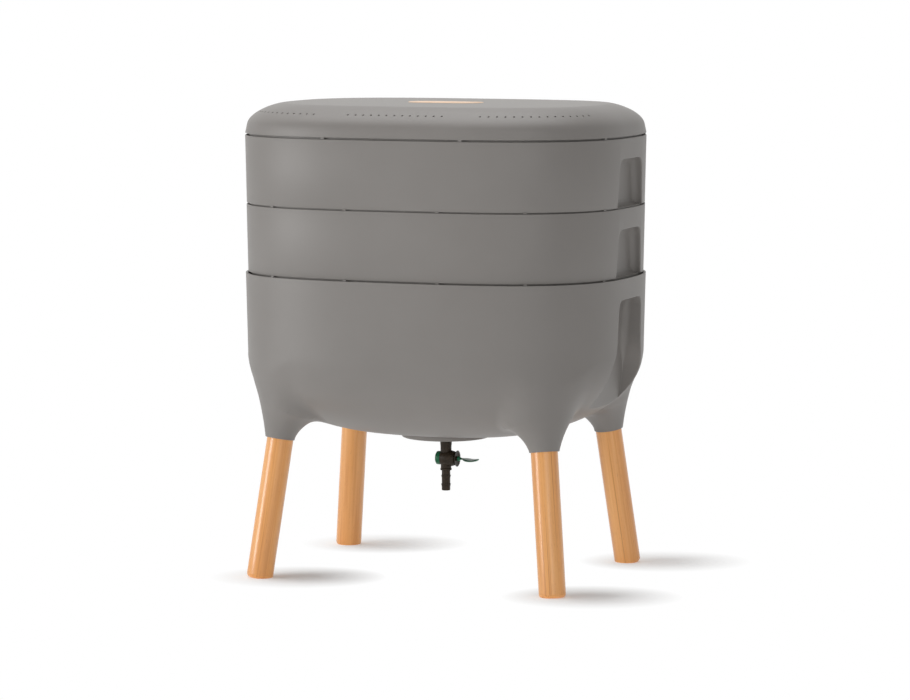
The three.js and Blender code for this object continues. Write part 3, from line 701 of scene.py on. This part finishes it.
# The tub's inside, which leaves room for the hand-holds' pockets and the legs' sockets
def makeTubRoom():
    wall, rim = tub["wall"], tub["rim"]
    room = ringStack("tubRoom", bowlRings(wall, tub["cavityRows"]) + [
        insetRing(wall, rim - tub["rimRound"]), insetRing(wall - tub["rimEase"], rim),
        insetRing(wall - tub["rimOpen"], rim + overcut["past"]),
    ])
    hold = grown(tubGripShape(), wall)
    back = tubGripBack(hold[:, 1]) - wall
    carve(room, bothEnds("gripHold", [(hold, back), (hold, overcut["outside"])]))
    boss = legs["radius"] + legs["fit"] + horn["bossWall"]
    for corner in corners:
        high = horn["depth"] + horn["cap"]
        carve(room, bore("boss", boss, -overcut["past"], high, legFrame(corner)))
    return room


def cutTubGrips(body):
    def shapeOf(width):
        return grown(tubGripShape(), width)

    carve(body, gripCutters(
        "gripCut", shapeOf, tubGripBack(tubGripShape()[:, 1]), tubFace,
        gripTub["hollow"], gripTub["edge"], gripTub["fade"]))


def boreTub(body):
    well, top = dish["radius"] - dish["edge"] - tub["wall"], tub["belly"] + 2 * tub["wall"]
    carve(body, bore("well", well, dish["face"] + dish["floor"], top, count=dish["columns"]))
    socket = legs["radius"] + legs["fit"]
    for corner in corners:
        place = legFrame(corner)
        carve(body, bore("legBore", socket, -horn["boreOut"], horn["depth"], place))
        carve(body, bore("screwBore", *legs["screwBore"], place, legs["screwColumns"]))
    carve(body, bore("outlet", *dish["outlet"]))


base = makeTub()
addDish(base)
carve(base, makeTubRoom())
cutTubGrips(base)
boreTub(base)
finishMoulding(base, tub["merge"])
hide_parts("base_tub")
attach(base, "base")
print("tub ready", len(base.data.polygons))


# Legs, turned beech with rounded ends

def addGrain(obj, matrix, shift):
    inverse = matrix.inverted()
    layer = obj.data.attributes.new("grain", "FLOAT_VECTOR", "POINT")
    for vertex, value in zip(obj.data.vertices, layer.data):
        value.vector = inverse @ vertex.co + Vector(shift)  # along the grain, from the mouth


# The leg as it comes off the lathe, +Z up its own axis from the socket's mouth
def turnLeg():
    run = Vector((horn["splayX"], horn["splayY"], horn["mouthZ"])).length
    low, r = -run - legs["levelCut"], legs["endRound"]
    profile = [(legs["radius"] - r, low)]
    for step in range(1, legs["roundSteps"] + 1):
        turn = math.pi / 2 * step / legs["roundSteps"]
        inset, rise = r * (1 - math.sin(turn)), r * (1 - math.cos(turn))
        profile.append((legs["radius"] - inset, low + rise))
    top = horn["depth"] - legs["seatGap"]
    for share in legs["waists"]:
        profile.append((legs["radius"], low + (top - low) * share))
    ease = legs["topEase"]
    profile += [(legs["radius"], top - ease), (legs["radius"] - ease, top)]
    return turnedPart("leg_turned", profile, count=legs["columns"])


# Each leg is its own copy, set in its socket and cut level at the floor
def setLeg(pattern, corner, shift):
    matrix = legFrame(corner)
    leg = copied(pattern, f"leg_{corner}_turned")
    leg.matrix_world = matrix
    settlePlace(leg)
    cutFlat(leg, (0, 0, 0), (0, 0, 1), clear_inner=True)
    addGrain(leg, matrix, shift)
    smoothOver(leg, smooth["turned"])
    giveFinish(leg, beech)
    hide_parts(f"leg_{corner}")
    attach(leg, "base")


pattern = turnLeg()
for place, corner in enumerate(corners):
    setLeg(pattern, corner, [step * place for step in legs["grainStep"]])
bpy.data.objects.remove(pattern)
print("legs ready")


# Trays

tray = {
    "pitch": 89.5 * mm, "gap": 2.3 * mm, "slit": 1.7 * mm, "wall": 3 * mm, "floor": 2.6 * mm,
    "draft": 1.6 * mm, "shoulder": 4 * mm, "round": 0.9 * mm, "easeShare": 0.3,
    "rimEase": 0.7 * mm, "lowerSlim": 1.3 * mm, "merge": 0.01 * mm,
    "footDrop": 12 * mm, "footInset": 5 * mm, "footDraft": 1.5 * mm,
    "gripDepth": 17 * mm, "gripBelowRim": 26.5 * mm, "gripTop": 42.5 * mm,
    "gripBottom": 49.5 * mm, "gripCorner": 14 * mm, "gripShift": 4.5 * mm,
    "gripHollow": 9 * mm, "gripEdge": 1.6 * mm, "cornerSteps": 8, "holdDrop": 20 * mm,
}
slots = {
    "length": 44 * mm, "width": 6 * mm, "pitchX": 60 * mm, "pitchY": 42 * mm,
    "edge": 20 * mm, "deep": 20 * mm,
}
nubs = {
    "length": 4.6 * mm, "sink": 0.2 * mm, "endShare": 0.406,
    "shares": (0.247, 0.675), "lidShares": (0.365,),
}


def outlineY(x, inset):
    share = 1 - (abs(x) / (halfX - inset)) ** outline["powerX"]
    return (halfY - inset) * share ** (1 / outline["powerY"])


def outlineX(y, inset):
    share = 1 - (abs(y) / (halfY - inset)) ** outline["powerY"]
    return (halfX - inset) * share ** (1 / outline["powerX"])


def trayGripShape(low, high, bottom, top):
    lean = Vector((bottom - top, low - high)).normalized() * tray["gripCorner"]
    inner = top - tray["gripCorner"]
    right = [(bottom, low)] + arcPoints(
        (top + lean.x, high + lean.y), (top, high), (inner, high), tray["cornerSteps"])
    whole = right + [(-y, z) for y, z in reversed(right)]
    return [(y + tray["gripShift"], z) for y, z in whole]


# Little pads under an edge that hold the air slit open
def makeNubs(edge, alongShares, wall, slit):
    endY = halfY * nubs["endShare"]
    spots = [(outlineX(endY, wall / 2), endY)]
    for share in alongShares:
        x = halfX * share
        spots.append((x, outlineY(x, wall / 2)))
    low = edge - slit + legs["seatGap"]
    size = (wall / 2, nubs["length"], edge - low + 2 * nubs["sink"])
    pattern = boxPattern("nub", size, (low + edge) / 2 + nubs["sink"])
    places = []
    for x, y in spots:
        facing = math.atan2(
            (y / halfY) ** (outline["powerY"] - 1) / halfY,
            (x / halfX) ** (outline["powerX"] - 1) / halfX,
        )
        for sx, sy in corners.values():
            turn = math.atan2(sy * math.sin(facing), sx * math.cos(facing))
            places.append((sx * x, sy * y, turn))
    return repeated(pattern, places)


# Places of the floor's slots, as many as the outline has room for
def slotPlaces():
    places = []
    roomX, roomY = halfX - slots["edge"], halfY - slots["edge"]
    countX, countY = int(roomX / slots["pitchX"]), int(roomY / slots["pitchY"])
    for column in range(-countX, countX + 1):
        for row in range(-countY, countY + 1):
            x, y = column * slots["pitchX"], row * slots["pitchY"]
            farX, farY = abs(x) + slots["length"] / 2, abs(y) + slots["width"] / 2
            if farX < roomX and farY < outlineY(farX, slots["edge"]):
                places.append((x, y, 0))
    return places


# A tray on the rim below it; a slim one is drawn in all round
def makeTray(name, rimBelow, slim):
    def insetRing(inset, height):
        return superRing(halfX - slim - inset, halfY - slim - inset, height)

    edge, rim = rimBelow + tray["slit"], rimBelow + tray["pitch"]
    foot = rimBelow - tray["footDrop"]
    r, wall, draft = tray["round"], tray["wall"], tray["draft"]
    ease = tray["easeShare"] * r
    footIn, footLow = tray["footInset"], tray["footInset"] + tray["footDraft"]
    wallDraft = draft / (rim - edge)
    body = ringStack(name + "_body", [
        insetRing(footLow + r, foot), insetRing(footLow, foot + r), insetRing(footIn, edge),
        insetRing(draft + r, edge), insetRing(draft + ease, edge + ease),
        insetRing(draft - wallDraft * r, edge + r), insetRing(wallDraft * r, rim - r),
        insetRing(ease, rim - ease), insetRing(r, rim),
    ])
    rimInset = wall - tray["rimEase"]
    room = ringStack("trayRoom", [
        insetRing(footLow + wall, foot + tray["floor"]), insetRing(footIn + wall, edge),
        insetRing(draft + wall, edge + tray["shoulder"]), insetRing(wall, rim - tray["rimEase"]),
        insetRing(rimInset, rim), insetRing(rimInset, rim + overcut["past"]),
    ])
    gripX = halfX - slim - tray["gripDepth"]
    gripTop, gripBottom, gripHigh = tray["gripTop"], tray["gripBottom"], rim - tray["gripBelowRim"]
    lean = (gripBottom - gripTop) / (gripHigh - edge)
    holdLow = foot - tray["holdDrop"]
    hold = trayGripShape(
        holdLow, gripHigh + wall, gripBottom + wall + lean * (edge - holdLow),
        gripTop + wall * (1 - lean))
    carve(room, bothEnds("hold", [(hold, gripX - wall), (hold, overcut["outside"])]))
    carve(body, room)

    def shapeOf(grow):
        return trayGripShape(edge - grow, gripHigh + grow, gripBottom + grow, gripTop + grow)

    def wallX(y, z):
        return outlineX(y, slim + draft * (rim - z) / (rim - edge))

    fade = (edge - 2 * mm, edge - 1 * mm)  # below the grip: hollow all the way down
    carve(body, gripCutters(
        "grip", shapeOf, gripX, wallX, tray["gripHollow"], tray["gripEdge"], fade))
    slot = boxPattern("slot", (slots["length"], slots["width"], slots["deep"]), foot)
    carve(body, repeated(slot, slotPlaces()))
    padWall = wall + draft + 2 * slim
    carve(body, makeNubs(edge, nubs["shares"], padWall, tray["slit"]), "UNION")
    finishMoulding(body, tray["merge"])
    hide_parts(name)
    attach(body, name)


makeTray("lower_tray", tub["rim"], tray["lowerSlim"])
makeTray("upper_tray", tub["rim"] + tray["pitch"], 0)
print("trays ready")


# Lid and its plaque

lidBase = tub["rim"] + 2 * tray["pitch"] + tray["gap"]
lid = {
    "skirt": 12 * mm, "lean": 0.2, "inset": 38 * mm, "rise": 26.6 * mm, "power": 1.45,
    "dome": 0.3 * mm, "shell": 2.8 * mm, "rows": 20, "innerRows": 8, "round": 0.9 * mm,
    "easeShare": 0.3, "topShares": (0.92, 0.82, 0.7, 0.56, 0.4, 0.22),
    "lipInset": 5 * mm, "lipWall": 2.6 * mm, "lipDrop": 8 * mm, "lipRise": 9 * mm,
    "lipEase": 0.6 * mm, "lipSink": 2 * mm, "below": 20 * mm, "above": 10 * mm,
}
lidTop = lidBase + lid["skirt"] + lid["rise"] + lid["dome"]
vent = {
    "radius": 1.4 * mm, "pitch": 10.6 * mm, "inset": 17 * mm, "front": 13, "corner": 15,
    "cornerShare": 0.443, "samples": 6000, "sides": 12, "drill": 60 * mm,
}
plaque = {
    "length": 102 * mm, "width": 46 * mm, "thickness": 3 * mm, "proud": 0.6 * mm, "pad": 3 * mm,
    "steps": 24, "grainShift": (1.3, 0.4, 0.2),
}
# The board's eased upper edge: drop below its top, and growth outwards
plaqueEdge = ((-0.7, 0), (-0.25, -0.2), (0, -0.7))


def domeRings(inset, drop, rows):
    rings = []
    for row in range(rows + 1):
        turn = math.pi / 2 * row / rows
        high = lid["skirt"] + (lid["rise"] - drop) * math.sin(turn)
        drawn = lid["lean"] * high + lid["inset"] * (1 - abs(math.cos(turn)) ** lid["power"])
        rings.append(insetRing(drawn + inset, lidBase + high))
    flat = drawn + inset
    shoulder = lidBase + lid["skirt"] + lid["rise"] - drop
    for share in lid["topShares"]:
        rings.append(superRing(
            (halfX - flat) * share, (halfY - flat) * share,
            shoulder + lid["dome"] * (1 - share ** 2)))
    return rings


def plaqueRings(grow, heights):
    half = plaque["width"] / 2
    straight = plaque["length"] / 2 - half
    rings = []
    for height, extra in heights:
        radius = half + grow + extra
        ring = []
        for side in (1, -1):
            for step in range(plaque["steps"] + 1):
                turn = math.pi * (step / plaque["steps"] - 0.5)
                x, y = straight + radius * math.cos(turn), radius * math.sin(turn)
                ring.append(Vector((side * x, side * y, height)))
        rings.append(ring)
    return rings


# Places of the vent holes, evenly along the shoulder from a given X outwards
def ventRow(startX, count):
    places, travelled, last = [], 0, None
    for sample in range(vent["samples"] + 1):
        turn = math.pi / 2 * (1 - sample / vent["samples"])
        here = Vector((
            (halfX - vent["inset"]) * abs(math.cos(turn)) ** (2 / outline["powerX"]),
            -(halfY - vent["inset"]) * math.sin(turn) ** (2 / outline["powerY"]),
        ))
        if here.x < startX or len(places) == count:
            continue
        travelled += (here - last).length if last else 0
        last = here
        if travelled >= len(places) * vent["pitch"]:
            places.append(here)
    return places


# The vent holes' places in all four quarters
def ventPlaces():
    places = []
    front = ventRow(0, (vent["front"] + 1) // 2)
    for spot in front + ventRow(vent["cornerShare"] * halfX, vent["corner"]):
        for sx, sy in corners.values():
            if spot.x > vent["radius"] or sx > 0:
                places.append((sx * spot.x, sy * spot.y, 0))
    return places


def makeLid():
    r, slope, inset = lid["round"], lid["lean"], lid["lipInset"]
    ease = lid["easeShare"] * r
    body = ringStack("lid_body", [
        insetRing(r, lidBase), insetRing(ease + slope * ease, lidBase + ease),
        insetRing(slope * r, lidBase + r),
    ] + domeRings(0, 0, lid["rows"]))
    lipLow = lidBase - lid["lipDrop"]
    carve(body, ringStack("lip", [
        insetRing(inset + lid["lipEase"], lipLow), insetRing(inset, lipLow + lid["lipEase"]),
        insetRing(inset, lidBase + lid["lipSink"]),
    ]), "UNION")
    room = ringStack("lidRoom", [
        insetRing(inset + lid["lipWall"], lidBase - lid["below"]),
        insetRing(inset + lid["lipWall"], lidBase + lid["lipRise"]),
    ] + domeRings(lid["shell"], lid["shell"], lid["innerRows"]))
    seatLow = lidTop - (plaque["thickness"] - plaque["proud"]) - legs["seatGap"]
    high = lidTop + lid["above"]
    pad = plaqueRings(plaque["pad"], [(seatLow - plaque["pad"], 0), (high, 0)])
    carve(room, ringStack("pad", pad))
    carve(body, room)
    carve(body, ringStack("seat", plaqueRings(legs["seatGap"], [(seatLow, 0), (high, 0)])))
    clearChoice()
    bpy.ops.mesh.primitive_cylinder_add(
        vertices=vent["sides"], radius=vent["radius"], depth=vent["drill"],
        location=(0, 0, lidBase + lid["skirt"] + vent["drill"] / 2))
    carve(body, repeated(settlePlace(named("ventHole")), ventPlaces()))
    carve(body, makeNubs(lidBase, nubs["lidShares"], tray["wall"], tray["gap"]), "UNION")
    finishMoulding(body, tray["merge"])
    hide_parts("lid")
    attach(body, "lid")


def makePlaque():
    low = lidTop - (plaque["thickness"] - plaque["proud"])
    top = low + plaque["thickness"]
    heights = [(low, 0)] + [(top + drop * mm, growth * mm) for drop, growth in plaqueEdge]
    board = ringStack("lid_plaque_board", plaqueRings(0, heights))
    addGrain(board, Matrix.Rotation(math.pi / 2, 4, "Y"), plaque["grainShift"])
    smoothOver(board, smooth["board"])
    giveFinish(board, plaqueWood)
    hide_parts("lid_plaque")
    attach(board, "lid")


makeLid()
makePlaque()
print("lid ready")


# Tap

tap = {
    "axis": 147.5 * mm, "half": 13.4 * mm, "flow": 3 * mm, "plug": 6 * mm, "stem": 3 * mm,
    "fit": 0.3 * mm, "spigot": 7.6 * mm, "plugLeft": -12 * mm,
    "flange": 16.3 * mm, "groove": 4.8 * mm, "groovePlace": 8.6 * mm, "grooveHalf": 0.9 * mm,
    "plugEase": 0.4 * mm, "capRight": -6.4 * mm, "columns": 64, "boreColumns": 32,
    "through": 40 * mm, "flowEnds": (-60 * mm, 50 * mm),
}
# Turned profiles, as radius and place along the plug's axis or up the stem
barrelCuts = (
    (7.2, -11.6), (7.6, -11.2), (7.6, -6.2), (9, -6.2), (9.5, -5.9), (10.8, -3), (10.8, 6.4),
    (9.6, 11.2), (8.8, 13), (8.4, 13.4),
)
stemCuts = (
    (5.1, -42.5), (5.6, -42), (5.6, -38), (6.3, -34.4), (6.5, -34), (5.6, -33.9), (5.6, -26.5),
    (6.3, -22.9), (6.5, -22.5), (5.6, -22.4), (5.6, -16.2), (7.2, -15.8), (7.5, -15.4),
    (7.5, -13.6), (7.2, -13.2), (6.9, -12.8), (6.9, -9), (7.25, 0), (7.25, 16), (7.65, 19),
    (7.65, 26.4), (6.6, 26.4), (6.6, 44.5), (6.1, 45),
)
glandCuts = (
    (7.6, 13.45), (7.6, 13.95), (9.6, 15.2), (10.5, 15.7), (10.7, 16.1), (10.5, 16.3),
    (9.4, 16), (6, 14.65),
)
capCuts = ((6.3, -13), (7.6, -12.75), (8.5, -12.1), (8.9, -11.1), (8.9, -6.7), (8.6, -6.4))
# The key's paddle, cut by cut: reach along the plug, half width, half thickness, lift
keyCuts = (
    (16.6, 3, 3, 0), (16.9, 3.3, 3.3, 0), (18.8, 3.3, 3.3, 0), (20.2, 2.8, 1.9, 0),
    (21.6, 2.7, 1.1, 0), (24, 3.8, 1.05, -0.1), (26, 6.8, 1.15, -0.3),
    (28, 9.8, 1.25, -0.65), (30.5, 11.6, 1.3, -1.15),
    (33.5, 12, 1.3, -1.5), (36.5, 12, 1.3, -1.6), (39.5, 11.7, 1.3, -1.4), (42, 10.3, 1.3, -1.0),
    (43.6, 8, 1.15, -0.8), (44.2, 6, 0.8, -0.7),
)
keyColumns, keyRoundness = 32, 0.7
stemFrame = Matrix.Translation((0, 0, tap["axis"]))
plugFrame = stemFrame @ Matrix.Rotation(math.pi / 2, 4, "Y")


def tapTurned(name, cuts, matrix):
    profile = [(radius * mm, place * mm) for radius, place in cuts]
    return turnedPart(name, profile, matrix, tap["columns"])


def finishTap(piece, finish, node, body, angle=smooth["tap"]):
    smoothOver(piece, angle)
    giveFinish(piece, finish)
    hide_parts(node)
    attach(piece, body)


def makeTapBody():
    barrel = tapTurned("tap_body_detail", barrelCuts, plugFrame)
    carve(barrel, tapTurned("tapStem", stemCuts, stemFrame), "UNION")
    carve(barrel, bore("flow", tap["flow"], *tap["flowEnds"], stemFrame, tap["boreColumns"]))
    radius, far = tap["plug"] + tap["fit"], tap["through"]
    carve(barrel, bore("cross", radius, -far, far, plugFrame, tap["columns"]))
    faceOut(barrel)
    finishTap(barrel, darkPlastic, "tap_body", "base", smooth["moulded"])


# Thin dished flange that holds the plug in
def makeTapGland():
    flange = tapTurned("tap_gland_detail", glandCuts, plugFrame)
    radius, far = tap["stem"] + tap["fit"], tap["through"]
    carve(flange, bore("glandBore", radius, 0, far, plugFrame, tap["boreColumns"]))
    finishTap(flange, darkPlastic, "tap_gland", "base")


def makeTapPlug():
    r, left, ease = tap["plug"], tap["plugLeft"], tap["plugEase"]
    profile = [(r - ease, left), (r, left + ease)]
    for place in (-tap["groovePlace"], tap["groovePlace"]):
        low, high = place - tap["grooveHalf"], place + tap["grooveHalf"]
        profile += [(r, low), (tap["groove"], low), (tap["groove"], high), (r, high)]
    profile += [(r, tap["half"]), (tap["stem"], tap["half"]), (tap["stem"], tap["flange"])]
    core = turnedPart("tap_plug_detail", profile, plugFrame)
    across, far = stemFrame @ Matrix.Rotation(math.pi / 2, 4, "X"), tap["through"]
    carve(core, bore("port", tap["flow"], -far, far, across, tap["boreColumns"]))
    finishTap(core, darkPlastic, "tap_plug", "tap_turning")


# Green cup on the plug's far end
def makeTapCap():
    cup = tapTurned("tap_end_cap_detail", capCuts, plugFrame)
    radius, low = tap["spigot"] + tap["fit"], tap["plugLeft"] - tap["fit"]
    high = tap["capRight"] + overcut["past"]
    carve(cup, bore("cupRoom", radius, low, high, plugFrame, tap["columns"]))
    finishTap(cup, greenPlastic, "tap_end_cap", "tap_turning")


def makeTapKey():
    rings = []
    for reach, half, thick, lift in keyCuts:
        ring = []
        for step in range(keyColumns):
            turn = 2 * math.pi * step / keyColumns
            across = math.copysign(abs(math.cos(turn)) ** keyRoundness, math.cos(turn))
            height = tap["axis"] + (lift + thick * math.sin(turn)) * mm
            ring.append(Vector((reach * mm, half * mm * across, height)))
        rings.append(ring)
    key = ringStack("tap_key_detail", rings)
    finishTap(key, greenPlastic, "tap_key", "tap_turning")


makeTapBody()
makeTapGland()
makeTapPlug()
makeTapCap()
makeTapKey()
print("tap ready")

for name, node in nodes.items():
    if name.startswith("leg_screw"):
        giveFinish(node, zinc)
    elif name.startswith("screw_seal") or "washer" in name or "ring" in name:
        giveFinish(node, rubber)
    elif name == "tap_locknut":
        giveFinish(node, darkPlastic)


# Floor, light and camera

stage = {
    "floorSize": 14, "floorGlow": 0.05, "floorBounce": 0.4, "sky": 0.16, "lampAim": (0, 0, 0.35),
    "shadeTurn": 0.376, "shadeShift": 0.05, "shadeLong": 0.115, "shadeWide": 0.085,
    "shadeFade": 0.8, "matt": 0.8,
}
lamps = {
    "windowLeft": {"place": (-3.0, -2.4, 0.68), "size": 1.35, "power": 58},
    "softTop": {"place": (-0.4, 0.3, 3.4), "size": 3.0, "power": 80},
    "fillRight": {"place": (2.4, -3.6, 1.25), "size": 2.4, "power": 28},
}


# One near the feet, where the floor shows its shade, and nought further out
def footShade(finish):
    place = finish.add("TexCoord", output=3)
    split = finish.add("SeparateXYZ", [place])
    x, y = split, Sock(finish, split.link.node.outputs[1])
    cosine, sine = math.cos(stage["shadeTurn"]), math.sin(stage["shadeTurn"])
    shade = None
    for sx, sy in corners.values():
        dx = x - (sx * (horn["mouthX"] + horn["splayX"]) + stage["shadeShift"] * cosine)
        dy = y - (sy * (horn["mouthY"] + horn["splayY"]) + stage["shadeShift"] * sine)
        along = (dx * cosine + dy * sine) / stage["shadeLong"]
        across = (dy * cosine - dx * sine) / stage["shadeWide"]
        spot = (1 - (along * along + across * across) ** 0.5) / stage["shadeFade"]
        shade = spot if shade is None else shade.math("MAXIMUM", shade, spot)
    return shade.within(0, 1)


# One for rays from the camera, also by mirrors or glass, and nought for others
def seenByCamera(finish):
    straight = finish.add("LightPath")
    outputs = straight.link.node.outputs
    mirrored = Sock(finish, outputs["Is Glossy Ray"])
    through = Sock(finish, outputs["Is Transmission Ray"])
    return (straight + mirrored + through).within(0, 1)


# White to the camera, with shade at the feet; to other rays a pale, glowing table
def makeFloor():
    clearChoice()
    bpy.ops.mesh.primitive_plane_add(size=stage["floorSize"], location=(0, 0, 0))
    floor = named("floor")
    finish = Finish("paleFloor")
    finish.nodes.remove(finish.shader)

    def matt(tone):
        return finish.add("BsdfDiffuse", {"Color": rgb(tone, tone, tone)})

    def glow(strength):
        return finish.add("Emission", {"Color": rgb(1, 1, 1), "Strength": strength})

    lit = finish.add("AddShader", [matt(1), glow(stage["floorGlow"])])
    bright = finish.add("AddShader", [matt(stage["matt"]), glow(stage["floorBounce"])])
    shown = finish.add("MixShader", [footShade(finish), glow(1), lit])
    look = finish.add("MixShader", [seenByCamera(finish), bright, shown])
    finish.links.new(look.link, finish.nodes["Material Output"].inputs["Surface"])
    floor.data.materials.append(finish.owner)


def makeWorld():
    world = Finish("whiteRoom", world=True)
    bpy.context.scene.world = world.owner
    world.set(Color=rgb(1, 1, 1), Strength=stage["sky"])
    white = world.add("Background", {"Color": rgb(1, 1, 1)})
    room = Sock(world, world.shader.outputs[0])
    look = world.add("MixShader", [seenByCamera(world), room, white])
    world.links.new(look.link, world.nodes["World Output"].inputs["Surface"])


def aimAt(obj, target):
    obj.rotation_euler = (Vector(target) - obj.location).to_track_quat("-Z", "Y").to_euler()


def makeLamps():
    for name, lamp in lamps.items():
        bpy.ops.object.light_add(type="AREA", location=lamp["place"])
        light = bpy.context.object
        light.name = name
        light.data.shape = "SQUARE"
        light.data.size = lamp["size"]
        light.data.energy = lamp["power"]
        aimAt(light, stage["lampAim"])


camera = {
    "place": (1.7265, -4.3397, 0.7931), "aim": (0.01096, 0.00433, 0.29007),
    "lens": 142.0, "sensor": 36, "farthest": 40,
}


def makeCamera():
    bpy.ops.object.camera_add(location=camera["place"])
    view = bpy.context.object
    view.data.lens = camera["lens"]
    view.data.sensor_width = camera["sensor"]
    view.data.clip_end = camera["farthest"]
    aimAt(view, camera["aim"])
    bpy.context.scene.camera = view


makeFloor()
makeWorld()
makeLamps()
makeCamera()
bpy.context.scene.view_settings.view_transform = "Standard"
print("stage ready")
